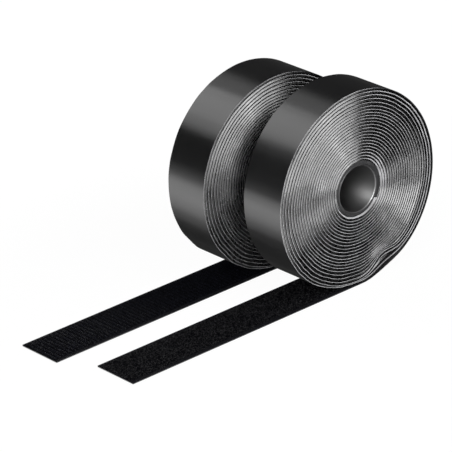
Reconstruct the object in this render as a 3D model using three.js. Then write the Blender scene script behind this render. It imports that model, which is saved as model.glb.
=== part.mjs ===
// Self-adhesive hook and loop tape: a roll of hook tape and a roll of loop tape, standing side by side.
// Millimetres, +Z up. The tails run out along -X, the roll axes lie along Y, and Z = 0 is the surface
// that the rolls stand on. The origin is the centre of the pair's footprint.
import * as THREE from "three";

// Layers of the tape, from the outside of a roll inwards
const linerThickness = 0.2;
const adhesiveThickness = 0.2;
const webThickness = 0.4;
const woundPileRoom = 0.7; // between two turns, where the hooks or loops are pressed flat

// Tape
const tapeWidth = 25;
const selvedge = 1.5; // bare margin of the woven web beside the pile
const tailLength = 141; // flat on the surface, from the roll's lowest line to the cut end
const peelLength = 30; // free end that can be lifted off its liner

// Winding
const wholeTurns = 23;
const tapeStartAngle = 60; // degrees past the last whole turn, where the tape starts at the core
const stepsPerTurn = 24;

// Core
const coreBore = 22.6;
const coreWall = 1;
const coreSegments = 48;
const wrapThinEnd = 0.4; // thickness of the starter wrap at its thin end
const clearance = 0.3; // between pieces that turn, peel or lie against each other

// The pair
const rollGap = 16.8; // between the facing sides of the two rolls
const rollStagger = 10.2; // how far the hook roll stands ahead of the loop roll

// Derived sizes
const fullTurn = 2 * Math.PI;
const laminate = linerThickness + adhesiveThickness + webThickness;
const pitch = laminate + woundPileRoom;
const coreRadius = coreBore / 2 + coreWall;
const wrapInnerRadius = coreRadius + clearance;
const startRadius = wrapInnerRadius + wrapThinEnd + clearance; // inside of the tape at its start
const startTurn = THREE.MathUtils.degToRad(tapeStartAngle);
const woundAngle = wholeTurns * fullTurn + startTurn;
const outerRadius = startRadius + (pitch * woundAngle) / fullTurn + laminate;
const peelLine = tailLength - peelLength;
const pileWidth = tapeWidth - 2 * selvedge;
const pileThickness = woundPileRoom - clearance; // dense lower part of the pile, which the roll passes over
const rollSpacing = tapeWidth + rollGap; // between the middles of the two tapes

// Heights of the tail's layers above the surface
const linerTop = linerThickness;
const adhesiveTop = linerTop + adhesiveThickness;
const webTop = adhesiveTop + webThickness;
const pileTop = webTop + pileThickness;

// Finishes
const finishes = {
  core: { color: 0x3a3a3c, roughness: 0.55, metalness: 0 },
  tape: { color: 0x141416, roughness: 0.6, metalness: 0 },
  liner: { color: 0x2c2c2e, roughness: 0.25, metalness: 0 },
  adhesive: { color: 0x1b1b1c, roughness: 0.35, metalness: 0 },
  hooks: { color: 0x0b0c10, roughness: 0.8, metalness: 0 },
  loops: { color: 0x101010, roughness: 0.95, metalness: 0 },
};

function piece(name, geometry, finish) {
  const mesh = new THREE.Mesh(geometry, new THREE.MeshStandardMaterial(finishes[finish]));
  mesh.name = name;
  return mesh;
}

// Radius of the outside of the tape after it has turned by angle from its outer end.
function outsideRadius(angle) {
  return outerRadius - (pitch * angle) / fullTurn;
}

// A point of a roll. Angles start at the lowest line and go up on the side away from the tail.
function rollPoint(radius, angle, y) {
  return new THREE.Vector3(radius * Math.sin(angle), y, outerRadius - radius * Math.cos(angle));
}

// One station of a band: the corners of its section, outer edge first.
function bandSection(angle, outer, inner) {
  const half = tapeWidth / 2;
  return [
    rollPoint(outer, angle, -half),
    rollPoint(outer, angle, half),
    rollPoint(inner, angle, half),
    rollPoint(inner, angle, -half),
  ];
}

// One unbroken closed band through its sections.
function bandGeometry(sections) {
  const corners = sections[0].length;
  const triangles = [];
  const quad = (a, b, c, d) => triangles.push(a, b, c, a, c, d);
  for (let i = 0; i < sections.length - 1; i++) {
    for (let k = 0; k < corners; k++) {
      const next = (k + 1) % corners;
      const row = i * corners;
      quad(row + k, row + next, row + corners + next, row + corners + k);
    }
  }
  const last = (sections.length - 1) * corners;
  quad(3, 2, 1, 0);
  quad(last, last + 1, last + 2, last + 3);
  const geometry = new THREE.BufferGeometry().setFromPoints(sections.flat());
  geometry.setIndex(triangles);
  geometry.computeVertexNormals();
  return geometry;
}

// The wound tape: web, adhesive and liner as one laminated strip, from its outer end to its start.
function windingSections() {
  const steps = Math.round((woundAngle / fullTurn) * stepsPerTurn);
  return Array.from({ length: steps + 1 }, (_, i) => {
    const angle = (woundAngle * i) / steps;
    const outer = outsideRadius(angle);
    return bandSection(angle, outer, outer - laminate);
  });
}

// Least distance between the facing sides of neighbouring turns, on the sections and halfway between them.
function leastGap(sections) {
  const halfway = (k) => (s, i) => {
    const after = sections[Math.min(i + 1, sections.length - 1)][k];
    return [s[k], s[k].clone().lerp(after, 0.5)];
  };
  const outside = sections.flatMap(halfway(0));
  const inside = sections.flatMap(halfway(3));
  const halfTurn = stepsPerTurn;
  let least = Infinity;
  outside.forEach((p, i) => {
    for (let j = 0; j <= i - halfTurn; j++) least = Math.min(least, p.distanceTo(inside[j]));
  });
  return least;
}

// The starter wrap round the core: it fills the room under the first turn, and its thick end
// makes the step that the start of the tape butts against.
function coreWrapGeometry() {
  const firstTurn = woundAngle - fullTurn;
  const stepGap = clearance / startRadius;
  const sections = Array.from({ length: stepsPerTurn + 1 }, (_, i) => {
    const angle = firstTurn + (i === 0 ? stepGap : (fullTurn * i) / stepsPerTurn);
    return bandSection(angle, outsideRadius(angle) - laminate - clearance, wrapInnerRadius);
  });
  return bandGeometry(sections);
}

// The core: a plain tube as wide as the tape.
function coreTubeGeometry() {
  const ring = new THREE.Shape().absarc(0, 0, coreRadius, 0, fullTurn);
  ring.holes.push(new THREE.Path().absarc(0, 0, coreBore / 2, 0, fullTurn, true));
  const settings = { depth: tapeWidth, bevelEnabled: false, curveSegments: coreSegments / 2 };
  const geometry = new THREE.ExtrudeGeometry(ring, settings);
  return geometry.translate(0, 0, -tapeWidth / 2).rotateX(Math.PI / 2).translate(0, 0, outerRadius);
}

// One flat layer of the tail, between two distances from the roll's lowest line.
function tailLayerGeometry(from, to, width, bottom, top) {
  const geometry = new THREE.BoxGeometry(to - from, width, top - bottom);
  return geometry.translate(-(from + to) / 2, 0, (bottom + top) / 2);
}

// The layers of the tape between two distances, without the liner that stays on the surface.
function tapeLayers(prefix, pile, from, to) {
  const layer = (width, bottom, top) => tailLayerGeometry(from, to, width, bottom, top);
  return [
    piece(`${prefix}_adhesive`, layer(tapeWidth, linerTop, adhesiveTop), "adhesive"),
    piece(`${prefix}_web`, layer(tapeWidth, adhesiveTop, webTop), "tape"),
    piece(`${prefix}_${pile}`, layer(pileWidth, webTop, pileTop), pile),
  ];
}

// A whole roll with its tail. Its own origin is on the surface, below the roll's axis.
function tapeRoll(kind, pile) {
  const winding = windingSections();
  console.log(`${kind} tape winding: least gap to itself ${leastGap(winding).toFixed(2)} mm`);
  const linerGeometry = tailLayerGeometry(clearance, tailLength, tapeWidth, 0, linerTop);
  const roll = new THREE.Group();
  roll.add(
    piece(`${kind}_core_tube`, coreTubeGeometry(), "core"),
    piece(`${kind}_core_wrap`, coreWrapGeometry(), "core"),
    piece(`${kind}_tape_winding`, bandGeometry(winding), "tape"),
    piece(`${kind}_tail_liner`, linerGeometry, "liner"),
    ...tapeLayers(`${kind}_tail`, pile, clearance, peelLine),
    ...tapeLayers(`${kind}_end`, pile, peelLine + clearance, tailLength),
  );
  return roll;
}

const hookRoll = tapeRoll("hook", "hooks");
const loopRoll = tapeRoll("loop", "loops");
hookRoll.position.set(-rollStagger / 2, rollSpacing / 2, 0);
loopRoll.position.set(rollStagger / 2, -rollSpacing / 2, 0);

// The pair is moved so that the middle of its footprint lies at the origin.
const pair = new THREE.Group();
pair.add(hookRoll, loopRoll);
const middle = new THREE.Box3().setFromObject(pair).getCenter(new THREE.Vector3());
pair.position.set(-middle.x, -middle.y, 0);

const tapeSet = new THREE.Group();
tapeSet.add(pair);

export default tapeSet;
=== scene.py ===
import math

import bmesh
import bpy
from mathutils import Matrix, Vector


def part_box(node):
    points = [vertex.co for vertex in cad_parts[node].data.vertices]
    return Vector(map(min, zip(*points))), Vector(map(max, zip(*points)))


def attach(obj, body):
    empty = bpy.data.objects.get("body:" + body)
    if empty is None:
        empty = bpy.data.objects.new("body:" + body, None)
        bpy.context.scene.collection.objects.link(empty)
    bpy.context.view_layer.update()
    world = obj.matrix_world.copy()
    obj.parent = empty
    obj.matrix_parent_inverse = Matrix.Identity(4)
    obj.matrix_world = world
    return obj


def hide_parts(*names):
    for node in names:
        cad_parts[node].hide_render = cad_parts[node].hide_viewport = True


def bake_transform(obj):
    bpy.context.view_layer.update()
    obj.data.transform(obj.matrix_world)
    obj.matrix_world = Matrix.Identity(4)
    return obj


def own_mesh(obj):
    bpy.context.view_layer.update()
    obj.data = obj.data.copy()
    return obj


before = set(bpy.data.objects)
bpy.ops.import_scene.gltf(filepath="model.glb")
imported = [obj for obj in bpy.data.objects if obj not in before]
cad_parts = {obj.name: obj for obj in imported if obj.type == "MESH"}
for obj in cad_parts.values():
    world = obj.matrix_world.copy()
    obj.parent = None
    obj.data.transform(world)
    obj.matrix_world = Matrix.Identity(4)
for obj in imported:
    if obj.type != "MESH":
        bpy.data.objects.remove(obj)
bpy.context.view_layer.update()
print("frame loaded, nodes:", len(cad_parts))

mm = 0.001
fullTurn = 2 * math.pi
kinds = ("hook", "loop")
pileField = 22 * mm  # width of the hooks or loops on a tape


def rollPlace(kind):
    # the middle of a roll's core, and half the width of its tape
    low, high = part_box(f"{kind}_core_tube")
    axis = (low + high) / 2
    return {"x": axis.x, "y": axis.y, "z": axis.z, "halfWidth": (high.y - low.y) / 2}


places = {kind: rollPlace(kind) for kind in kinds}


# node helpers

def addNode(tree, kind, feeds=None, **settings):
    made = tree.nodes.new(kind)
    for name, value in settings.items():
        setattr(made, name, value)
    for key, value in (feeds or {}).items():
        if isinstance(value, bpy.types.NodeSocket):
            tree.links.new(value, made.inputs[key])
        else:
            made.inputs[key].default_value = value
    return made


def calc(tree, operation, *values):
    feeds = dict(enumerate(values))
    return addNode(tree, "ShaderNodeMath", feeds, operation=operation).outputs[0]


def times(tree, first, *others):
    product = first
    for value in others:
        product = calc(tree, "MULTIPLY", product, value)
    return product


def over(tree, value, divisor):
    return calc(tree, "DIVIDE", value, divisor)


def plus(tree, value, more):
    return calc(tree, "ADD", value, more)


def minus(tree, value, less):
    return calc(tree, "SUBTRACT", value, less)


def addShare(tree, share, amount, value):
    # the value, with a share of the amount added
    return calc(tree, "MULTIPLY_ADD", share, amount, value)


def ease(tree, value, low, high, bottom=0.0, top=1.0):
    feeds = {0: value, 1: low, 2: high, 3: bottom, 4: top}
    return addNode(tree, "ShaderNodeMapRange", feeds, interpolation_type="SMOOTHSTEP").outputs[0]


def easeOut(tree, value, low, high):
    return ease(tree, value, low, high, 1.0, 0.0)


def bell(tree, x, width):
    share = over(tree, x, width)
    return calc(tree, "EXPONENT", times(tree, share, share, -1.0))


def angleFrom(tree, angle, middle):
    # signed angle from the middle, within half a turn
    return calc(tree, "WRAP", minus(tree, angle, middle), math.pi, -math.pi)


def point(tree, x, y, z):
    return addNode(tree, "ShaderNodeCombineXYZ", {0: x, 1: y, 2: z}).outputs[0]


def split(tree, vector):
    return addNode(tree, "ShaderNodeSeparateXYZ", {0: vector}).outputs


def noise(tree, place, scale, detail=2.0):
    feeds = {"Vector": place, "Scale": scale, "Detail": detail}
    return addNode(tree, "ShaderNodeTexNoise", feeds).outputs[0]


def evenNoise(tree, place, scale, detail=2.0):
    # noise that swings about zero
    return minus(tree, noise(tree, place, scale, detail), 0.5)


def gridRow(tree, index, columns):
    # half a step keeps the first point of a row clear of rounding
    return calc(tree, "FLOOR", over(tree, plus(tree, index, 0.5), columns))


def newTree(name, kind, inputs, outputs):
    tree = bpy.data.node_groups.new(name, kind)
    for direction, sockets in (("INPUT", inputs), ("OUTPUT", outputs)):
        for label, socketKind in sockets.items():
            tree.interface.new_socket(name=label, in_out=direction, socket_type="NodeSocket" + socketKind)
    given = tree.nodes.new("NodeGroupInput").outputs
    result = tree.nodes.new("NodeGroupOutput").inputs
    return tree, given, result


def floats(*labels):
    return {label: "Float" for label in labels}


# shared surface effects

grainShape = {
    "mottleDetail": 3.0,
    "mottleRange": (0.3, 0.7),
    "toothDetail": 1.0,
}

weaveShape = {
    "fuzzScale": 900.0,
    "threadHeight": 0.4,  # against the fuzz
    "shadeRange": (0.1, 0.9),
}


def makeGrainGroup():
    # soft mottling and a fine tooth, for plastics and films
    tree, given, result = newTree(
        "surfaceGrain", "ShaderNodeTree",
        {"Place": "Vector", "Mottle Scale": "Float", "Tooth Scale": "Float"},
        {"Mottle": "Float", "Tooth": "Float"})
    mottle = noise(tree, given["Place"], given["Mottle Scale"], grainShape["mottleDetail"])
    tooth = noise(tree, given["Place"], given["Tooth Scale"], grainShape["toothDetail"])
    tree.links.new(ease(tree, mottle, *grainShape["mottleRange"]), result["Mottle"])
    tree.links.new(tooth, result["Tooth"])
    return tree


def makeWeaveGroup():
    # plain weave: threads along the tape and across it, each over and under in turn
    tree, given, result = newTree(
        "plainWeave", "ShaderNodeTree",
        {"Place": "Vector", "Thread": "Float"},
        {"Height": "Float", "Shade": "Float"})
    x, y, _ = split(tree, given["Place"])
    along, across = (calc(tree, "SINE", over(tree, way, given["Thread"])) for way in (x, y))
    fuzz = noise(tree, given["Place"], weaveShape["fuzzScale"])
    height = addShare(tree, times(tree, along, across), weaveShape["threadHeight"], fuzz)
    tree.links.new(height, result["Height"])
    tree.links.new(ease(tree, height, *weaveShape["shadeRange"]), result["Shade"])
    return tree


grainGroup = makeGrainGroup()
weaveGroup = makeWeaveGroup()


# finishes

def newMaterial(name, look):
    material = bpy.data.materials.new(name)
    material.use_nodes = True
    tree = material.node_tree
    shader = tree.nodes["Principled BSDF"]
    for label, value in look.get("shader", {}).items():
        shader.inputs[label].default_value = value
    return material, tree, shader


def shadeBetween(tree, factor, dark, light):
    mix = addNode(tree, "ShaderNodeMix", data_type="RGBA")
    tree.links.new(factor, mix.inputs[0])
    for socket, shade in ((mix.inputs[6], dark), (mix.inputs[7], light)):
        if isinstance(shade, tuple):
            socket.default_value = (*shade, 1.0)
        else:
            tree.links.new(shade, socket)
    return mix.outputs[2]


def bump(tree, shader, height, strength, distance):
    feeds = {"Height": height, "Strength": strength, "Distance": distance}
    made = addNode(tree, "ShaderNodeBump", feeds)
    tree.links.new(made.outputs[0], shader.inputs["Normal"])


def objectPlace(tree):
    return addNode(tree, "ShaderNodeTexCoord").outputs["Object"]


def makeFinish(name, look):
    # a grained surface: its colour and roughness follow the mottling, and its bump follows the tooth
    material, tree, shader = newMaterial(name, look)
    feeds = {"Place": objectPlace(tree), "Mottle Scale": look["mottle"], "Tooth Scale": look["tooth"]}
    surface = addNode(tree, "ShaderNodeGroup", feeds, node_tree=grainGroup).outputs
    colour = shadeBetween(tree, surface["Mottle"], look["dark"], look["light"])
    if "shadedTurns" in look:
        turn = addNode(tree, "ShaderNodeAttribute", attribute_name="turn").outputs["Fac"]
        colour = shadeBetween(tree, ease(tree, turn, *look["shadedTurns"]), look["shaded"], colour)
    tree.links.new(colour, shader.inputs["Base Color"])
    if "roughness" in look:
        source, low, high = look.get("roughnessBy", ("Mottle", 0.0, 1.0))
        rough = ease(tree, surface[source], low, high, *look["roughness"])
        tree.links.new(rough, shader.inputs["Roughness"])
    if "bump" in look:
        bump(tree, shader, surface["Tooth"], *look["bump"])
    if "marksRound" in look:
        marks = addNode(tree, "ShaderNodeTangent", direction_type="RADIAL", axis=look["marksRound"])
        tree.links.new(marks.outputs[0], shader.inputs["Tangent"])
    return material


# in each look, mottle and tooth are noise scales, and bump is a strength and a distance

film = makeFinish("linerFilm", {
    "dark": (0.0060, 0.0060, 0.0064),
    "light": (0.0080, 0.0080, 0.0084),
    "roughness": (0.285, 0.305),
    "mottle": 60.0,
    "tooth": 1400.0,
    "bump": (0.06, 0.02 * mm),
    "shader": {"Coat Weight": 0.75, "Coat Roughness": 0.24},
})

filmEdge = makeFinish("filmEdge", {
    "dark": (0.30, 0.30, 0.308),
    "light": (0.44, 0.44, 0.452),
    "shaded": (0.018, 0.018, 0.019),
    "shadedTurns": (0.43, 0.50),  # the outermost turn's edge stays dark up to here
    "mottle": 220.0,
    "tooth": 2600.0,
    "bump": (0.3, 0.04 * mm),
    "shader": {"Roughness": 0.45},
})

tapeEdge = makeFinish("tapeEdge", {
    "dark": (0.001, 0.001, 0.0011),
    "light": (0.003, 0.003, 0.0032),
    "roughness": (0.26, 0.31),
    "mottle": 300.0,
    "tooth": 3200.0,
    "bump": (0.25, 0.02 * mm),
    "shader": {"IOR": 2.4},
})

corePlastic = makeFinish("corePlastic", {
    "dark": (0.016, 0.016, 0.0165),
    "light": (0.023, 0.023, 0.0235),
    "roughness": (0.36, 0.46),
    "mottle": 90.0,
    "tooth": 1800.0,
    "bump": (0.15, 0.03 * mm),
})

# painted shade: the bore's wall is coloured far darker than the same plastic at the tube's ends, so the
# inside of the bore looks dark
coreBore = makeFinish("coreBore", {
    "dark": (0.002, 0.002, 0.002),
    "light": (0.004, 0.004, 0.004),
    "roughness": (0.60, 0.62),
    "mottle": 90.0,
    "tooth": 1800.0,
    "bump": (0.10, 0.02 * mm),
    "marksRound": "Y",  # fine turned marks, which stretch the gloss along the bore
    "shader": {"IOR": 1.68, "Anisotropic": 0.68, "Anisotropic Rotation": 0.25},
})

coreRim = makeFinish("coreRim", {
    "dark": (0.016, 0.016, 0.0165),
    "light": (0.023, 0.023, 0.0235),
    "roughness": (0.42, 0.46),
    "mottle": 90.0,
    "tooth": 1800.0,
    "shader": {"IOR": 1.9},
})

wrapPlastic = makeFinish("wrapPlastic", {
    "dark": (0.024, 0.024, 0.025),
    "light": (0.036, 0.036, 0.037),
    "roughness": (0.50, 0.62),
    "mottle": 160.0,
    "tooth": 2400.0,
    "bump": (0.3, 0.05 * mm),
})

adhesive = makeFinish("tackyAdhesive", {
    "dark": (0.024, 0.024, 0.023),
    "light": (0.036, 0.036, 0.035),
    "roughness": (0.28, 0.40),
    "mottle": 180.0,
    "tooth": 700.0,
    "bump": (0.35, 0.08 * mm),
})

hookNylon = makeFinish("hookNylon", {
    "dark": (0.0002, 0.0002, 0.0004),
    "light": (0.0125, 0.0135, 0.0195),
    "roughness": (0.35, 0.50),
    "roughnessBy": ("Tooth", 0.3, 0.7),
    "mottle": 1100.0,
    "tooth": 4000.0,
    "shader": {"Specular IOR Level": 0.03},
})

loopYarn = makeFinish("loopYarn", {
    "dark": (0.0004, 0.0004, 0.0005),
    "light": (0.0480, 0.0480, 0.0510),
    "roughness": (0.60, 0.80),
    "roughnessBy": ("Tooth", 0.3, 0.7),
    "mottle": 1000.0,
    "tooth": 4000.0,
    "shader": {"Specular IOR Level": 0.02},
})

webLook = {
    "thread": 0.085 * mm,
    "ground": ((0.0006, 0.0006, 0.0012), (0.0030, 0.0030, 0.0045)),  # dark and light, under the pile
    "selvedge": ((0.0045, 0.0045, 0.0056), (0.0135, 0.0135, 0.0160)),
    "bareEdges": (-0.6 * mm, 0.2 * mm),  # from the edge of the pile, where the selvedge sets in
    "roughness": (0.75, 0.6),
    "bump": (0.6, 0.08 * mm),
    "shader": {"Specular IOR Level": 0.03},
}


def makeWebMaterial():
    look = webLook
    material, tree, shader = newMaterial("wovenWeb", look)
    place = objectPlace(tree)
    feeds = {"Place": place, "Thread": look["thread"]}
    threads = addNode(tree, "ShaderNodeGroup", feeds, node_tree=weaveGroup).outputs
    ground = shadeBetween(tree, threads["Shade"], *look["ground"])
    selvedge = shadeBetween(tree, threads["Shade"], *look["selvedge"])
    fromPair = calc(tree, "ABSOLUTE", split(tree, place)[1])
    tapeMiddle = places["hook"]["y"]  # the loop tape lies as far off on the other side
    fromTape = calc(tree, "ABSOLUTE", minus(tree, fromPair, tapeMiddle))
    bare = ease(tree, fromTape, *(pileField / 2 + edge for edge in look["bareEdges"]))
    tree.links.new(shadeBetween(tree, bare, ground, selvedge), shader.inputs["Base Color"])
    rough = ease(tree, threads["Shade"], 0.0, 1.0, *look["roughness"])
    tree.links.new(rough, shader.inputs["Roughness"])
    bump(tree, shader, threads["Height"], *look["bump"])
    return material


wovenWeb = makeWebMaterial()
print("finishes made:", len(bpy.data.materials))


# mesh helpers

mergeDistance = 0.0001 * mm


def newObject(name, data, *materials):
    made = bpy.data.objects.new(name, data)
    bpy.context.scene.collection.objects.link(made)
    for material in materials:
        data.materials.append(material)
    return made


def bakeTree(name, tree, sizes):
    made = newObject(name, bpy.data.meshes.new(name))
    modifier = made.modifiers.new("shape", "NODES")
    modifier.node_group = tree
    for item in tree.interface.items_tree:
        if item.in_out == "INPUT":
            modifier[item.identifier] = sizes[item.name]
    depsgraph = bpy.context.evaluated_depsgraph_get()
    mesh = bpy.data.meshes.new_from_object(made.evaluated_get(depsgraph), depsgraph=depsgraph)
    made.modifiers.clear()
    made.data = mesh
    mesh.name = name
    return made


def finishMesh(work, mesh, sharpAngle):
    bmesh.ops.recalc_face_normals(work, faces=work.faces)
    work.to_mesh(mesh)
    work.free()
    for face in mesh.polygons:
        face.use_smooth = True
    mesh.set_sharp_from_angle(angle=math.radians(sharpAngle))


def closeSeams(mesh, sharpAngle):
    work = bmesh.new()
    work.from_mesh(mesh)
    bmesh.ops.remove_doubles(work, verts=work.verts, dist=mergeDistance)
    bmesh.ops.holes_fill(work, edges=[e for e in work.edges if e.is_boundary], sides=0)
    finishMesh(work, mesh, sharpAngle)


def loftMesh(name, sections, sharpAngle, closedEnds=True):
    # joins equal closed sections in order; without closed ends the last joins the first
    work = bmesh.new()
    rings = [[work.verts.new(p) for p in section] for section in sections]
    count = len(rings[0])
    followers = rings[1:] if closedEnds else rings[1:] + rings[:1]
    for ringA, ringB in zip(rings, followers):
        for k in range(count):
            after = (k + 1) % count
            work.faces.new((ringA[k], ringA[after], ringB[after], ringB[k]))
    if closedEnds:
        work.faces.new(rings[0])
        work.faces.new(rings[-1])
    mesh = bpy.data.meshes.new(name)
    finishMesh(work, mesh, sharpAngle)
    return mesh


# wound tape

tapeStart = math.radians(54)  # where the tape starts at the core, past its last whole turn
windingTurns = 23 + tapeStart / fullTurn
windingSteps = 180  # in each turn
windingSeeds = {"hook": 3.0, "loop": 8.0}
beadBulge = {"hook": 0.68 * mm, "loop": 0.825 * mm}  # stiff hook tape bulges less at its edges
edgePoints = {"Film": 3, "Tape": 6}  # across the edge of each layer

windingSizes = {
    "Pitch": 1.435 * mm,
    "Outer Slack": 1.5 * mm,  # the outer turns lie looser, by this much in all
    "Film Thickness": 0.24 * mm,  # liner with its adhesive, the light lines on the side
    "Start Thickness": 1.15 * mm,  # added to the film towards the tape's start
    "Smear Thickness": 0.75 * mm,  # added where adhesive is smeared over the first turns
    "Smear Angle": math.radians(98),
    "Groove": 0.05 * mm,
    "Bead Thickness": 1.60 * mm,
    "Bead Recess": -0.04 * mm,
    "Bead Unevenness": 0.62,
    "Slip Depth": 1.1 * mm,  # the outer turns' edges lie deeper on the side away from the tail
    "Slip Angle": math.radians(80),
    "Slip Thickness": 0.36 * mm,  # added to the film there, where its adhesive shows beside it
    "Waviness": 0.34 * mm,
    "Side Shift": 0.10 * mm,
    "Dent Depth": 4.8 * mm,
    "Dent Angle": math.radians(20),
}
turnInputs = ("Outer Radius", "Pitch", "Outer Slack", "Waviness", "Dent Depth", "Dent Angle", "Seed")
rollInputs = ("Outer Radius", "Total Turns", "Axis X", "Middle Y", "Axis Z", "Half Width", "Bead Bulge",
              "Seed")

# counted in turns from the tape's outer end, with widths in radians
turnShape = {
    "stepLead": 0.12,  # an outer turn steps inwards from here before the lowest line
    "stepTrail": 0.22,  # to here after it
    "spiralTurns": (9.0, 16.0),  # here the steps pass into a plain spiral
    "slackTurns": (0.3, 6.0),
    "waveScale": 95.0,
    "waveTurns": (0.02, 0.9),
    "looseAngle": math.radians(-45),  # the outer turns ripple on the tail's side of the lowest line
    "looseWidth": 0.55,
    "looseTurn": 4.0,
    "looseTurns": 3.0,
    "looseGain": 2.2,
    "dentWidth": 0.20,
    "dentStart": 0.7,
    "dentTurns": 1.9,  # from its start to its deepest turn
    "flatStart": (0.0, 0.03),  # the outermost turn is a little flat at the dent
    "flatEnd": (0.25, 0.5),
    "flatShare": 0.2,
}

filmShape = {
    "startTurns": 0.42,  # from the tape's start at the core, as the smear's turns are
    "smearIn": (0.1, 0.5),
    "smearOut": (2.0, 4.4),
    "smearWidth": 0.72,
    "slipWidth": 1.25,
    "slipPower": 4.0,
    "slipTurns": (2.0, 4.0),
    "bulge": 0.04 * mm,
}

beadShape = {
    "leastDepth": 0.1 * mm,
    "leastBulge": 0.1,
    "patchScale": 75.0,
    "steepAngle": 0.03,  # the edges stand steeper near the floor
    "steepWidth": 0.40,
    "steepTurns": (2.0, 4.0),
    "steepGain": 0.40,
    "pressedAside": 0.1,  # a pressed patch, before the dent's angle
    "pressedWidth": 0.15,
    "pressedTurn": 6.2,
    "pressedTurns": 2.7,
    "pressedGain": -0.62,
    "slipTurns": (1.2, 4.0),
    "slipGain": -0.85,
    "outerTurns": (0.6, 1.1),
    "outerShare": 0.7,  # of the bulge, on the outermost turn
}

edgeShape = {
    "ridge": 3 / 5,  # the ridge of a tape edge, from its outer side
    "power": 1.1,
    "shiftScale": 1.3,
    "shiftTurns": (0.0, 0.4),
    "facing": 0.5,  # a face that turns sideways by more than this is edge
}


def sidePlace(tree, radius, angle, seed):
    # a place on the roll's side, for noise
    return point(tree, times(tree, radius, calc(tree, "SINE", angle)),
                 times(tree, radius, calc(tree, "COSINE", angle)), seed)


def makeTurnGroup():
    # radius of the outside of the tape after an angle: an outer turn is a circle that steps inwards near
    # the floor, the inner turns are a plain spiral, and the waves and the dent come on top
    tree, given, result = newTree(
        "turnRadius", "GeometryNodeTree", floats("Angle", *turnInputs), floats("Radius"))
    shape, angle = turnShape, given["Angle"]
    turn = over(tree, angle, fullTurn)
    count = calc(tree, "FLOOR", plus(tree, turn, shape["stepLead"]))
    past = minus(tree, turn, count)
    before = minus(tree, count, 1.0)
    afterFirst = calc(tree, "MINIMUM", calc(tree, "MAXIMUM", before, 0.0), 1.0)
    stepEnd = times(tree, afterFirst, shape["stepTrail"])
    stepped = plus(tree, before, ease(tree, past, -shape["stepLead"], stepEnd))
    spiral = times(tree, minus(tree, turn, stepped), ease(tree, turn, *shape["spiralTurns"]))
    wound = plus(tree, stepped, spiral)
    plain = minus(tree, given["Outer Radius"], times(tree, given["Pitch"], wound))
    slack = times(tree, ease(tree, wound, *shape["slackTurns"]), given["Outer Slack"])
    plain = minus(tree, plain, slack)

    wave = evenNoise(tree, sidePlace(tree, plain, angle, given["Seed"]), shape["waveScale"])
    wave = times(tree, wave, times(tree, given["Waviness"], 2.0))
    loose = bell(tree, angleFrom(tree, angle, shape["looseAngle"]), shape["looseWidth"])
    loose = times(tree, loose, bell(tree, minus(tree, turn, shape["looseTurn"]), shape["looseTurns"]))
    wave = times(tree, wave, addShare(tree, loose, shape["looseGain"], 1.0))
    wave = times(tree, wave, ease(tree, turn, *shape["waveTurns"]))

    depth = calc(tree, "MAXIMUM", minus(tree, turn, shape["dentStart"]), 0.0)
    depth = over(tree, depth, shape["dentTurns"])
    depth = times(tree, depth, calc(tree, "EXPONENT", minus(tree, 1.0, depth)))
    flat = ease(tree, turn, *shape["flatEnd"], shape["flatShare"], 0.0)
    flat = times(tree, ease(tree, turn, *shape["flatStart"]), flat)
    spread = bell(tree, angleFrom(tree, angle, given["Dent Angle"]), shape["dentWidth"])
    dent = times(tree, plus(tree, depth, flat), spread, given["Dent Depth"])
    tree.links.new(minus(tree, plus(tree, plain, wave), dent), result["Radius"])
    return tree


turnGroup = makeTurnGroup()


def turnRadius(tree, given, angle):
    feeds = {"Angle": angle, **{label: given[label] for label in turnInputs}}
    return addNode(tree, "GeometryNodeGroup", feeds, node_tree=turnGroup).outputs[0]


def slipAt(tree, given, angle):
    # one in a wide stretch round the slip's angle, and nought elsewhere
    share = over(tree, angleFrom(tree, angle, given["Slip Angle"]), filmShape["slipWidth"])
    share = calc(tree, "POWER", share, filmShape["slipPower"])
    return calc(tree, "EXPONENT", times(tree, share, -1.0))


def filmDepthAt(tree, given, turn, angle, slip):
    shape = filmShape
    fromStart = minus(tree, given["Total Turns"], turn)
    nearStart = easeOut(tree, fromStart, 0.0, shape["startTurns"])
    depth = addShare(tree, nearStart, given["Start Thickness"], given["Film Thickness"])
    opened = times(tree, slip, easeOut(tree, turn, *shape["slipTurns"]))
    depth = addShare(tree, opened, given["Slip Thickness"], depth)
    smear = ease(tree, fromStart, *shape["smearIn"])
    smear = times(tree, smear, easeOut(tree, fromStart, *shape["smearOut"]))
    smear = times(tree, smear, bell(tree, angleFrom(tree, angle, given["Smear Angle"]), shape["smearWidth"]))
    return addShare(tree, smear, given["Smear Thickness"], depth)


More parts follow.
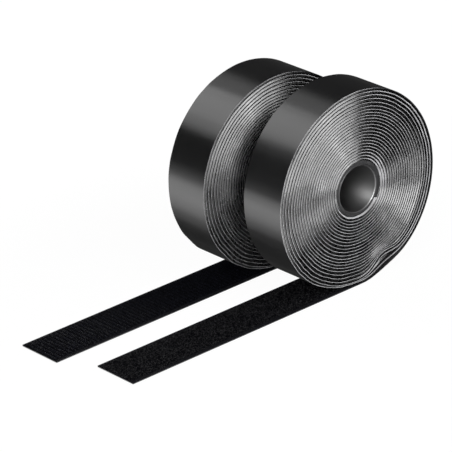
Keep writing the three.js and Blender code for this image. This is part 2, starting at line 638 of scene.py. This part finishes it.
def beadAt(tree, given, turn, angle, slip, top, room):
    # depth, recess and bulge of the tape's black edge between two films
    shape = beadShape
    depth = calc(tree, "MINIMUM", minus(tree, room, given["Groove"]), given["Bead Thickness"])
    depth = calc(tree, "MAXIMUM", depth, shape["leastDepth"])
    patch = evenNoise(tree, sidePlace(tree, top, angle, given["Seed"]), shape["patchScale"])
    steep = bell(tree, angleFrom(tree, angle, shape["steepAngle"]), shape["steepWidth"])
    steep = times(tree, steep, ease(tree, turn, *shape["steepTurns"]))
    pressedAngle = minus(tree, given["Dent Angle"], shape["pressedAside"])
    pressed = bell(tree, angleFrom(tree, angle, pressedAngle), shape["pressedWidth"])
    pressed = times(tree, pressed, bell(tree, minus(tree, turn, shape["pressedTurn"]), shape["pressedTurns"]))
    slip = times(tree, slip, easeOut(tree, turn, *shape["slipTurns"]))
    bulge = addShare(tree, patch, given["Bead Unevenness"], 1.0)
    bulge = addShare(tree, steep, shape["steepGain"], bulge)
    bulge = addShare(tree, pressed, shape["pressedGain"], bulge)
    bulge = addShare(tree, slip, shape["slipGain"], bulge)
    bulge = times(tree, bulge, ease(tree, turn, *shape["outerTurns"], shape["outerShare"], 1.0))
    bulge = times(tree, given["Bead Bulge"], calc(tree, "MAXIMUM", bulge, shape["leastBulge"]))
    bulge = times(tree, bulge, over(tree, depth, given["Bead Thickness"]))
    recess = addShare(tree, slip, given["Slip Depth"], given["Bead Recess"])
    return depth, recess, bulge


def edgeWalk(tree, corner, points):
    # the edge nearer to -Y is walked inwards, the other one outwards again
    front = calc(tree, "LESS_THAN", corner, points - 0.5)
    returning = minus(tree, 2 * points - 1.0, corner)
    walked = plus(tree, times(tree, front, corner), times(tree, minus(tree, 1.0, front), returning))
    share = over(tree, walked, points - 1.0)
    side = addShare(tree, front, -2.0, 1.0)  # -1 in front, 1 at the back
    return share, side


def edgeAcross(tree, given, turn, share, side, recess, bulge):
    # how far across the tape a point of its edge lies
    rising = over(tree, share, edgeShape["ridge"])
    falling = over(tree, minus(tree, 1.0, share), 1.0 - edgeShape["ridge"])
    slope = minus(tree, 1.0, calc(tree, "MINIMUM", rising, falling))
    slope = calc(tree, "POWER", calc(tree, "MAXIMUM", slope, 0.0), edgeShape["power"])
    reach = minus(tree, minus(tree, given["Half Width"], recess), times(tree, slope, bulge))
    shiftPlace = point(tree, times(tree, turn, edgeShape["shiftScale"]), given["Seed"], 0.0)
    shift = evenNoise(tree, shiftPlace, scale=1.0, detail=1.0)
    shift = times(tree, shift, times(tree, given["Side Shift"], 2.0))
    shift = times(tree, shift, ease(tree, turn, *edgeShape["shiftTurns"]))
    return plus(tree, addShare(tree, side, reach, shift), given["Middle Y"])


def makeWindingTree(layer, faceMaterial, edgeMaterial):
    tree, given, result = newTree(
        "wound" + layer, "GeometryNodeTree",
        {"Sections": "Int", **floats(*windingSizes, *rollInputs)}, {"Geometry": "Geometry"})
    points = edgePoints[layer]
    corners = 2 * points
    grid = addNode(tree, "GeometryNodeMeshGrid", {"Vertices X": given["Sections"], "Vertices Y": corners + 1})
    index = addNode(tree, "GeometryNodeInputIndex").outputs[0]
    row = gridRow(tree, index, corners + 1)
    corner = minus(tree, index, times(tree, row, corners + 1))
    corner = calc(tree, "MODULO", corner, corners)
    turn = over(tree, row, windingSteps)
    angle = times(tree, turn, fullTurn)

    outside = turnRadius(tree, given, angle)
    slip = slipAt(tree, given, angle)
    filmDepth = filmDepthAt(tree, given, turn, angle, slip)
    if layer == "Film":
        top, depth, recess, bulge = outside, filmDepth, 0.0, filmShape["bulge"]
    else:
        nextTurn = turnRadius(tree, given, plus(tree, angle, fullTurn))
        top = minus(tree, outside, filmDepth)
        room = minus(tree, minus(tree, outside, nextTurn), filmDepth)
        depth, recess, bulge = beadAt(tree, given, turn, angle, slip, top, room)

    share, side = edgeWalk(tree, corner, points)
    across = edgeAcross(tree, given, turn, share, side, recess, bulge)
    radius = minus(tree, top, times(tree, share, depth))
    x = addShare(tree, radius, calc(tree, "SINE", angle), given["Axis X"])
    z = minus(tree, given["Axis Z"], times(tree, radius, calc(tree, "COSINE", angle)))

    kept = addNode(tree, "GeometryNodeStoreNamedAttribute", {"Geometry": grid.outputs[0], "Name": "turn"},
                   data_type="FLOAT", domain="POINT")
    tree.links.new(turn, kept.inputs["Value"])
    placed = addNode(tree, "GeometryNodeSetPosition", {
        "Geometry": kept.outputs[0], "Position": point(tree, x, across, z)})
    real = addNode(tree, "GeometryNodeRealizeInstances", {"Geometry": placed.outputs[0]})
    faced = addNode(tree, "GeometryNodeSetMaterial", {"Geometry": real.outputs[0], "Material": faceMaterial})
    sideways = split(tree, addNode(tree, "GeometryNodeInputNormal").outputs[0])[1]
    onEdge = calc(tree, "GREATER_THAN", calc(tree, "ABSOLUTE", sideways), edgeShape["facing"])
    edged = addNode(tree, "GeometryNodeSetMaterial", {
        "Geometry": faced.outputs[0], "Selection": onEdge, "Material": edgeMaterial})
    tree.links.new(edged.outputs[0], result[0])
    return tree


windingTrees = {
    "Film": makeWindingTree("Film", film, filmEdge),
    "Tape": makeWindingTree("Tape", wovenWeb, tapeEdge),
}


def makeWinding(kind):
    place = places[kind]
    sizes = {
        **windingSizes, "Sections": round(windingTurns * windingSteps) + 1, "Total Turns": windingTurns,
        "Outer Radius": place["z"], "Axis X": place["x"], "Middle Y": place["y"], "Axis Z": place["z"],
        "Half Width": place["halfWidth"], "Bead Bulge": beadBulge[kind], "Seed": windingSeeds[kind],
    }
    for layer, tree in windingTrees.items():
        made = bakeTree(f"{kind}Wound{layer}", tree, sizes)
        closeSeams(made.data, sharpAngle=30)
        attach(made, f"{kind}_winding")
        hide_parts(f"{kind}_tape_winding")
        print(made.name, "faces", len(made.data.polygons))


for kind in kinds:
    makeWinding(kind)


# core tube and its starter wrap

coreSizes = {
    "bore": 11.3 * mm,
    "outside": 12.3 * mm,
    "chamfer": 0.32 * mm,
    "boreLip": ((0.0, 2.0), (0.3, 0.7), (1.0, 0.0)),  # outwards and inwards along the bore, in chamfers
    "outerCut": 0.6,  # in chamfers
    "segments": 128,
    "wrapInside": 12.38 * mm,
    "wrapThinEnd": 12.75 * mm,  # outside of the wrap where the tape starts
    "wrapRise": 1.7 * mm,  # how much thicker it is at its blunt end
    "wrapChamfer": 0.10 * mm,
    "wrapInset": 0.05 * mm,  # from the sides of the tape
    "wrapStepGap": 0.02,  # radians between its blunt end and the tape's start
}
coreMaterials = (corePlastic, coreBore, coreRim)
boreStrip = 9  # strip of the tube's profile inside the bore
rimStrips = (7, 8, 0, 1)  # strips of the bore's two lips


def aroundAxis(place, radius, angle, y):
    x = place["x"] + radius * math.sin(angle)
    z = place["z"] - radius * math.cos(angle)
    return Vector((x, place["y"] + y, z))


def makeCoreTube(kind):
    place, size = places[kind], coreSizes
    half, cut, bore, outside = place["halfWidth"], size["chamfer"], size["bore"], size["outside"]
    outerCut = size["outerCut"] * cut
    rim = [(bore + out * cut, half - deep * cut) for out, deep in size["boreLip"]]
    rim += [(outside - outerCut, half), (outside, half - outerCut)]
    profile = [(r, -y) for r, y in rim] + rim[::-1]
    sections = [[aroundAxis(place, r, fullTurn * i / size["segments"], y) for r, y in profile]
                for i in range(size["segments"])]
    mesh = loftMesh(f"{kind}CoreTube", sections, sharpAngle=60, closedEnds=False)
    made = newObject(f"{kind}CoreTube", mesh, *coreMaterials)
    for face in mesh.polygons:
        strip = face.index % len(profile)
        # the bore's wall takes the darker finish, which is painted shade
        if strip == boreStrip:
            face.material_index = coreMaterials.index(coreBore)
        elif strip in rimStrips:
            face.material_index = coreMaterials.index(coreRim)
    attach(made, f"{kind}_core")
    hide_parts(f"{kind}_core_tube")


def makeCoreWrap(kind):
    place, size = places[kind], coreSizes
    half, cut, inside = place["halfWidth"] - size["wrapInset"], size["wrapChamfer"], size["wrapInside"]
    gap = size["wrapStepGap"]
    sections = []
    for i in range(size["segments"] + 1):
        share = i / size["segments"]
        angle = tapeStart + gap + (fullTurn - gap) * share
        outside = size["wrapThinEnd"] + size["wrapRise"] * (1 - share)
        corners = [(inside + cut, -half), (outside - cut, -half), (outside, -half + cut),
                   (outside, half - cut), (outside - cut, half), (inside + cut, half),
                   (inside, half - cut), (inside, -half + cut)]
        sections.append([aroundAxis(place, r, angle, y) for r, y in corners])
    made = newObject(f"{kind}CoreWrap", loftMesh(f"{kind}CoreWrap", sections, sharpAngle=30), wrapPlastic)
    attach(made, f"{kind}_winding")
    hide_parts(f"{kind}_core_wrap")


for kind in kinds:
    makeCoreTube(kind)
    makeCoreWrap(kind)
print("cores made")


# flat tails

tailSizes = {
    "startGap": 0.3 * mm,  # from the roll's lowest line
    "near": 75 * mm,  # stretch that the roll passes over
    "peelLine": 111.15 * mm,
    "peelHeight": 1.2 * mm,
    "peelBend": 5 * mm,
    "step": 1.5 * mm,
    "liner": (0.0, 0.2 * mm),  # bottom and top
    "linerCorner": 0.03 * mm,
    "adhesive": (0.2 * mm, 0.4 * mm),
    "adhesiveCorner": 0.05 * mm,
    "adhesiveInset": 0.12 * mm,
    "web": (0.4 * mm, 0.8 * mm),
}

selvedgeSizes = {
    "cords": 3,  # warp cords that stand up along each edge of the web
    "cordPoints": 6,
    "cordPitch": 0.42 * mm,
    "cordRise": 0.06 * mm,
    "cordSink": 0.04 * mm,  # of the grooves between them
    "topInset": 0.05 * mm,
    "bottomInset": 0.08 * mm,
    "sideBottom": 0.12 * mm,
    "sideTop": 0.14 * mm,  # below the web's top
}


def flatSection(halfWidth, bottom, top, corner):
    return [(-halfWidth, bottom + corner), (-halfWidth + corner, bottom), (halfWidth - corner, bottom),
            (halfWidth, bottom + corner), (halfWidth, top - corner), (halfWidth - corner, top),
            (-halfWidth + corner, top), (-halfWidth, top - corner)]


def webSection(halfWidth, bottom, top):
    size = selvedgeSizes
    inner = halfWidth - size["topInset"]
    half = [(halfWidth - size["bottomInset"], bottom), (halfWidth, bottom + size["sideBottom"]),
            (halfWidth, top - size["sideTop"])]
    for cord in range(size["cords"]):
        for part in range(size["cordPoints"]):
            share = part / size["cordPoints"]
            rise = size["cordRise"] * abs(math.sin(math.pi * share))
            half.append((inner - (cord + share) * size["cordPitch"], top - size["cordSink"] + rise))
    half.append((inner - size["cords"] * size["cordPitch"], top))
    return [(-y, z) for y, z in half[::-1]] + half


def stripMesh(name, section, start, end, middleY, step):
    count = max(2, round(abs(end - start) / step))
    stations = [start + (end - start) * i / count for i in range(count + 1)]
    sections = [[Vector((x, middleY + y, z)) for y, z in section] for x in stations]
    return loftMesh(name, sections, sharpAngle=40)


def tailRange(kind, part):
    tangent, end = places[kind]["x"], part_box(f"{kind}_tail_liner")[0].x
    middle = tangent - tailSizes["near"]
    return (tangent - tailSizes["startGap"], middle) if part == "Near" else (middle, end)


def attachTail(made, kind, part, nodes, peels=True):
    if part == "Near":
        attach(made, f"{kind}_tail")
        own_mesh(made)
    elif peels:
        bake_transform(made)
    else:
        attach(made, f"{kind}_tail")
    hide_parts(*nodes)
    made.visible_glossy = False  # the films mirror the pale floor and not the other tape


def makeTail(kind):
    place, size = places[kind], tailSizes
    half = place["halfWidth"]
    linerSection = flatSection(half, *size["liner"], size["linerCorner"])
    adhesiveSection = flatSection(half - size["adhesiveInset"], *size["adhesive"], size["adhesiveCorner"])
    layers = (
        ("Liner", linerSection, film, "liner_film"),
        ("Adhesive", adhesiveSection, adhesive, "adhesive"),
        ("Web", webSection(half, *size["web"]), wovenWeb, "woven_web"),
    )
    for part in ("Near", "Far"):
        start, end = tailRange(kind, part)
        for layer, section, material, slot in layers:
            name = f"{kind}Tail{layer}{part}"
            made = newObject(name, stripMesh(name, section, start, end, place["y"], size["step"]), material)
            node = layer.lower()
            nodes = [f"{kind}_tail_{node}"]
            if part == "Far" and layer != "Liner":
                nodes.append(f"{kind}_end_{node}")
            attachTail(made, kind, part, nodes, peels=layer != "Liner")


for kind in kinds:
    makeTail(kind)
print("tails made")


# hooks and loops on the tails

hookSizes = {
    "Field Width": pileField,
    "Base Height": 0.78 * mm,
    "Row Spacing": 1.15 * mm,
    "Hook Spacing": 0.92 * mm,
    "Hook Height": 0.60 * mm,
    "Wire Radius": 0.085 * mm,
    "Jitter": 0.10 * mm,
}
hookShape = {
    # the wire's curve, in hook heights
    "curve": {"Start": (0, 0, 0), "Start Handle": (-0.15, 0, 1.25), "End Handle": (0.75, 0, 1.35),
              "End": (0.62, 0, 0.35)},
    "steps": 7,
    "sides": 5,
    "swing": (-0.6, 0.6),  # radians off the tape's line
    "growth": (0.85, 1.08),
}

loopSizes = {
    "Field Width": pileField,
    "Base Height": 0.76 * mm,
    "Loops per Area": 2.4e6,  # on a square metre
    "Loop Height": 0.55 * mm,
    "Yarn Radius": 0.05 * mm,
}
loopShape = {
    # the yarn's curve, in loop heights
    "curve": {"Start": (-0.45, 0, 0), "Start Handle": (-1.1, 0.4, 1.3), "End Handle": (1.2, -0.5, 1.3),
              "End": (0.35, 0.2, 0)},
    "steps": 8,
    "sides": 3,
    "lean": ((-0.7, -0.3, -math.pi), (0.7, 0.3, math.pi)),
    "growth": (0.7, 1.15),
}

fieldInputs = ("Start X", "Length", "Middle Y")
pileStart = 4 * mm  # the pile is hidden under the roll nearer than this
pileSeeds = {"Near": 5, "Far": 6}


def scaled(tree, vector, factor):
    return addNode(tree, "ShaderNodeVectorMath", {0: vector, "Scale": factor}, operation="SCALE").outputs[0]


def randomNumber(tree, given, low, high):
    feeds = {"Seed": given["Seed"], 2: low, 3: high}
    return addNode(tree, "FunctionNodeRandomValue", feeds, data_type="FLOAT").outputs[1]


def randomVector(tree, given, low, high):
    feeds = {"Seed": given["Seed"], 0: low, 1: high}
    return addNode(tree, "FunctionNodeRandomValue", feeds, data_type="FLOAT_VECTOR").outputs[0]


def newFieldTree(name, sizes):
    return newTree(name, "GeometryNodeTree", {"Seed": "Int", **floats(*sizes, *fieldInputs)},
                   {"Geometry": "Geometry"})


def fieldCentre(tree, given, y):
    x = minus(tree, given["Start X"], times(tree, given["Length"], 0.5))
    return point(tree, x, y, given["Base Height"])


def strand(tree, shape, height, radius):
    feeds = {label: scaled(tree, shares, height) for label, shares in shape["curve"].items()}
    bent = addNode(tree, "GeometryNodeCurvePrimitiveBezierSegment", {"Resolution": shape["steps"], **feeds})
    ring = addNode(tree, "GeometryNodeCurvePrimitiveCircle", {"Resolution": shape["sides"], "Radius": radius})
    return addNode(tree, "GeometryNodeCurveToMesh", {
        "Curve": bent.outputs[0], "Profile Curve": ring.outputs[0], "Fill Caps": True}).outputs[0]


def plantStrands(tree, result, spots, made, rotation, growth, material):
    placed = addNode(tree, "GeometryNodeInstanceOnPoints", {
        "Points": spots, "Instance": made, "Rotation": rotation,
        "Scale": point(tree, growth, growth, growth)})
    real = addNode(tree, "GeometryNodeRealizeInstances", {"Geometry": placed.outputs[0]})
    smooth = addNode(tree, "GeometryNodeSetShadeSmooth", {"Geometry": real.outputs[0]})
    coated = addNode(tree, "GeometryNodeSetMaterial", {"Geometry": smooth.outputs[0], "Material": material})
    tree.links.new(coated.outputs[0], result[0])


def makeHookTree():
    # rows across the tape, every other one shifted and facing the other way
    tree, given, result = newFieldTree("hookField", hookSizes)
    shape, rowSpacing, hookSpacing = hookShape, given["Row Spacing"], given["Hook Spacing"]
    rows = calc(tree, "ROUND", over(tree, given["Length"], rowSpacing))
    columns = calc(tree, "ROUND", over(tree, given["Field Width"], hookSpacing))
    grid = addNode(tree, "GeometryNodeMeshGrid", {
        "Size X": minus(tree, given["Length"], rowSpacing),
        "Size Y": minus(tree, given["Field Width"], hookSpacing),
        "Vertices X": rows, "Vertices Y": columns})
    index = addNode(tree, "GeometryNodeInputIndex").outputs[0]
    row = gridRow(tree, index, columns)
    odd = calc(tree, "MODULO", row, 2.0)
    stagger = times(tree, minus(tree, odd, 0.5), times(tree, hookSpacing, 0.5))
    centre = fieldCentre(tree, given, plus(tree, given["Middle Y"], stagger))
    jitter = scaled(tree, randomVector(tree, given, (-1, -1, 0), (1, 1, 0)), given["Jitter"])
    offset = addNode(tree, "ShaderNodeVectorMath", {0: jitter, 1: centre}, operation="ADD").outputs[0]
    spots = addNode(tree, "GeometryNodeMeshToPoints", {"Mesh": grid.outputs[0]}).outputs[0]
    spread = addNode(tree, "GeometryNodeSetPosition", {"Geometry": spots, "Offset": offset}).outputs[0]
    hook = strand(tree, shape, given["Hook Height"], given["Wire Radius"])
    facing = addShare(tree, odd, math.pi, randomNumber(tree, given, *shape["swing"]))
    growth = randomNumber(tree, given, *shape["growth"])
    plantStrands(tree, result, spread, hook, point(tree, 0.0, 0.0, facing), growth, hookNylon)
    return tree


def makeLoopTree():
    # loops strewn over the field, leaning all ways
    tree, given, result = newFieldTree("loopField", loopSizes)
    grid = addNode(tree, "GeometryNodeMeshGrid", {
        "Size X": given["Length"], "Size Y": given["Field Width"], "Vertices X": 2, "Vertices Y": 2})
    field = addNode(tree, "GeometryNodeSetPosition", {
        "Geometry": grid.outputs[0], "Offset": fieldCentre(tree, given, given["Middle Y"])})
    spots = addNode(tree, "GeometryNodeDistributePointsOnFaces", {
        "Mesh": field.outputs[0], "Density": given["Loops per Area"], "Seed": given["Seed"]}).outputs[0]
    loop = strand(tree, loopShape, given["Loop Height"], given["Yarn Radius"])
    lean = randomVector(tree, given, *loopShape["lean"])
    growth = randomNumber(tree, given, *loopShape["growth"])
    plantStrands(tree, result, spots, loop, lean, growth, loopYarn)
    return tree


pileTrees = {"hook": (makeHookTree(), hookSizes, "hooks"), "loop": (makeLoopTree(), loopSizes, "loops")}


def makePile(kind):
    tree, sizes, word = pileTrees[kind]
    for part in ("Near", "Far"):
        start, end = tailRange(kind, part)
        if part == "Near":
            start = places[kind]["x"] - pileStart
        made = bakeTree(f"{kind}Tail{word.capitalize()}{part}", tree, {
            **sizes, "Start X": start, "Length": start - end, "Middle Y": places[kind]["y"],
            "Seed": pileSeeds[part]})
        nodes = [f"{kind}_tail_{word}"] + ([f"{kind}_end_{word}"] if part == "Far" else [])
        attachTail(made, kind, part, nodes)
        print(made.name, "triangles", sum(len(f.vertices) - 2 for f in made.data.polygons))


for kind in kinds:
    makePile(kind)


# camera

view = {
    "azimuth": -40.30,
    "elevation": 24.63,
    "roll": -3.05,
    "distance": 33.437,  # this and the shifts are in roll radii
    "shiftRight": 1.2582,
    "shiftUp": 0.350,
    "focalPixels": 3509.2,  # focal length in the picture's pixels
    "pictureWidth": 452,
    "sensorWidth": 36,  # millimetres
    "clipEnd": 50,  # metres
}


def makeCamera():
    place = places["loop"]
    azimuth, elevation, roll = (math.radians(view[k]) for k in ("azimuth", "elevation", "roll"))
    ahead = math.cos(elevation)
    back = Vector((math.sin(azimuth) * ahead, -math.cos(azimuth) * ahead, math.sin(elevation)))
    level = Vector((math.cos(azimuth), math.sin(azimuth), 0))
    upright = back.cross(level)
    right = level * math.cos(roll) + upright * math.sin(roll)
    up = upright * math.cos(roll) - level * math.sin(roll)
    target = Vector((place["x"], place["y"] - place["halfWidth"], place["z"]))
    offset = back * view["distance"] - right * view["shiftRight"] - up * view["shiftUp"]
    camera = newObject("camera", bpy.data.cameras.new("camera"))
    turned = Matrix((right, up, back)).transposed().to_4x4()
    camera.matrix_world = Matrix.Translation(target + offset * place["z"]) @ turned
    camera.data.sensor_width = view["sensorWidth"]
    camera.data.lens = view["focalPixels"] / view["pictureWidth"] * view["sensorWidth"]
    camera.data.clip_end = view["clipEnd"]
    bpy.context.scene.camera = camera


makeCamera()
print("camera made")


# floor, world and lamps

stageLook = {
    "floorDrop": 0.15 * mm,
    "floorSize": 8.0,
    "floorSquares": 8,
    "floorColour": (0.95, 0.95, 0.95, 1),
    "white": (1, 1, 1, 1),
    "floorWhite": 1.015,  # to the camera
    "shadow": 0.06,  # how much of the floor's own shading the camera sees
    "shadowReach": (0.10, 0.24),
    "worldAmbient": 0.12,
    "worldGlossy": 0.035,
    "worldEdges": (-0.2, 0.3),  # from the dark front of the studio to its back
}

# glowing stretches of floor, painted light that only mirror images show, with edges in metres
mirrorLook = {
    "floor": 0.045,
    "pool": 1.7,  # strip that the films mirror
    "poolRise": (-0.34, -0.10),
    "poolFall": (-0.075, -0.005),
    "poolBack": (-0.06, -0.01),
    "front": 0.72,  # floor in front, which the tape edges mirror
    "frontSlant": 1.15,  # its edge runs aslant, so that only the loop roll's side mirrors it
    "frontEdges": (-0.045, -0.020),
    "frontStart": (-0.062, -0.046),
    "frontFar": (-0.50, -0.20),
    "frontFarShare": 0.55,
    "frontEnd": (0.02, 0.07),
    "rightStart": (-0.05, 0.02),  # the front floor is brighter on the right
    "rightNear": (-0.085, -0.065),
    "rightGain": (4.2, 0.4),
}


def mirroredFloor(tree, place):
    look = mirrorLook
    x, y, _ = split(tree, place)
    pool = times(tree, ease(tree, x, *look["poolRise"]), easeOut(tree, x, *look["poolFall"]))
    pool = addShare(tree, pool, look["pool"], look["floor"])
    pool = times(tree, pool, ease(tree, y, *look["poolBack"]))
    slant = minus(tree, y, times(tree, x, look["frontSlant"]))
    front = times(tree, easeOut(tree, slant, *look["frontEdges"]), look["front"])
    front = times(tree, front, easeOut(tree, y, *look["frontStart"]))
    front = times(tree, front, ease(tree, y, *look["frontFar"], look["frontFarShare"], 1.0))
    right = ease(tree, y, *look["rightNear"], *look["rightGain"])
    right = times(tree, ease(tree, x, *look["rightStart"]), right)
    front = addShare(tree, front, right, front)
    front = times(tree, front, easeOut(tree, x, *look["frontEnd"]))
    return plus(tree, pool, front)


def mirrorRays(tree, rays):
    return calc(tree, "MAXIMUM", rays["Is Glossy Ray"], rays["Is Transmission Ray"])


def makeFloor():
    look = stageLook
    work = bmesh.new()
    squares = look["floorSquares"]
    bmesh.ops.create_grid(work, x_segments=squares, y_segments=squares, size=look["floorSize"] / 2)
    bmesh.ops.translate(work, verts=work.verts, vec=(0, 0, -look["floorDrop"]))
    mesh = bpy.data.meshes.new("floor")
    work.to_mesh(mesh)
    work.free()
    material = bpy.data.materials.new("paleFloor")
    material.use_nodes = True
    tree = material.node_tree
    tree.nodes.clear()
    rays = addNode(tree, "ShaderNodeLightPath").outputs
    place = objectPlace(tree)
    own = addNode(tree, "ShaderNodeBsdfDiffuse", {"Color": look["floorColour"]})
    white = addNode(tree, "ShaderNodeEmission", {"Color": look["white"], "Strength": look["floorWhite"]})
    away = addNode(tree, "ShaderNodeVectorMath", {0: place}, operation="LENGTH").outputs["Value"]
    plainWhite = ease(tree, away, *look["shadowReach"], 1 - look["shadow"], 1.0)
    seen = addNode(tree, "ShaderNodeMixShader", {
        0: times(tree, rays["Is Camera Ray"], plainWhite), 1: own.outputs[0], 2: white.outputs[0]})
    bright = addNode(tree, "ShaderNodeEmission", {
        "Color": look["white"], "Strength": mirroredFloor(tree, place)})
    mirrored = addNode(tree, "ShaderNodeMixShader", {
        0: mirrorRays(tree, rays), 1: seen.outputs[0], 2: bright.outputs[0]})
    addNode(tree, "ShaderNodeOutputMaterial", {"Surface": mirrored.outputs[0]})
    floor = newObject("floor", mesh, material)


def makeWorld():
    look = stageLook
    world = bpy.data.worlds.new("studio")
    bpy.context.scene.world = world
    world.use_nodes = True
    tree = world.node_tree
    tree.nodes.clear()
    rays = addNode(tree, "ShaderNodeLightPath").outputs
    ambient = look["worldAmbient"]
    soft = addShare(tree, rays["Is Camera Ray"], 1 - ambient, ambient)
    mirrored = mirrorRays(tree, rays)
    across = split(tree, addNode(tree, "ShaderNodeTexCoord").outputs["Generated"])[1]
    studio = ease(tree, across, *look["worldEdges"], 0.0, look["worldGlossy"])
    plain = times(tree, soft, minus(tree, 1.0, mirrored))
    level = plus(tree, plain, times(tree, mirrored, studio))
    sky = addNode(tree, "ShaderNodeBackground", {"Color": look["white"], "Strength": level})
    addNode(tree, "ShaderNodeOutputWorld", {"Surface": sky.outputs[0]})


lampAim = Vector((0.03, 0, 0.05))
lamps = {
    # name: place in metres from where the lamps aim, size, radiance
    "backBox": ((-0.267, 0.727, 0.694), (0.56, 0.46), 2.05),
    "topBox": ((0.140, 0.727, 0.700), (0.40, 0.40), 0.62),
    "highBox": ((0.400, -0.737, 0.744), (0.70, 0.55), 3.3),
    "frontBox": ((-0.124, -0.905, 0.664), (0.65, 0.55), 3.2),
    "leftBox": ((-0.558, -0.951, 0.245), (0.65, 0.55), 2.5),
    "sideBox": ((-0.860, -0.600, 0.360), (0.54, 0.96), 5.2),
    "boreBox": ((-0.760, -0.450, 0.654), (0.50, 0.50), 60.0),  # for the streak in the dark bores
}
# lamps that light only some pieces, or all but some
lampLinks = {
    "sideBox": ("EXCLUDE", ("hookWoundFilm", "hookWoundTape")),
    "highBox": ("EXCLUDE", ("hookCoreTube", "loopCoreTube")),
    "boreBox": ("INCLUDE", ("hookCoreTube", "loopCoreTube")),
}


def linkLamp(lamp, state, pieces):
    linked = bpy.data.collections.new(lamp.name + "Pieces")
    for piece in pieces:
        linked.objects.link(bpy.data.objects[piece])
    lamp.light_linking.receiver_collection = linked
    for item in linked.collection_objects:
        item.light_linking.link_state = state


def makeLamps():
    for name, (place, size, radiance) in lamps.items():
        light = bpy.data.lights.new(name, "AREA")
        light.shape = "RECTANGLE"
        light.size, light.size_y = size
        light.energy = radiance * math.pi * size[0] * size[1]
        lamp = newObject(name, light)
        lamp.location = lampAim + Vector(place)
        lamp.rotation_euler = (-Vector(place)).to_track_quat("-Z", "Y").to_euler()
        lamp.visible_camera = False
        if name in lampLinks:
            linkLamp(lamp, *lampLinks[name])


makeFloor()
makeWorld()
makeLamps()
bpy.context.scene.view_settings.view_transform = "Standard"
print("stage made")
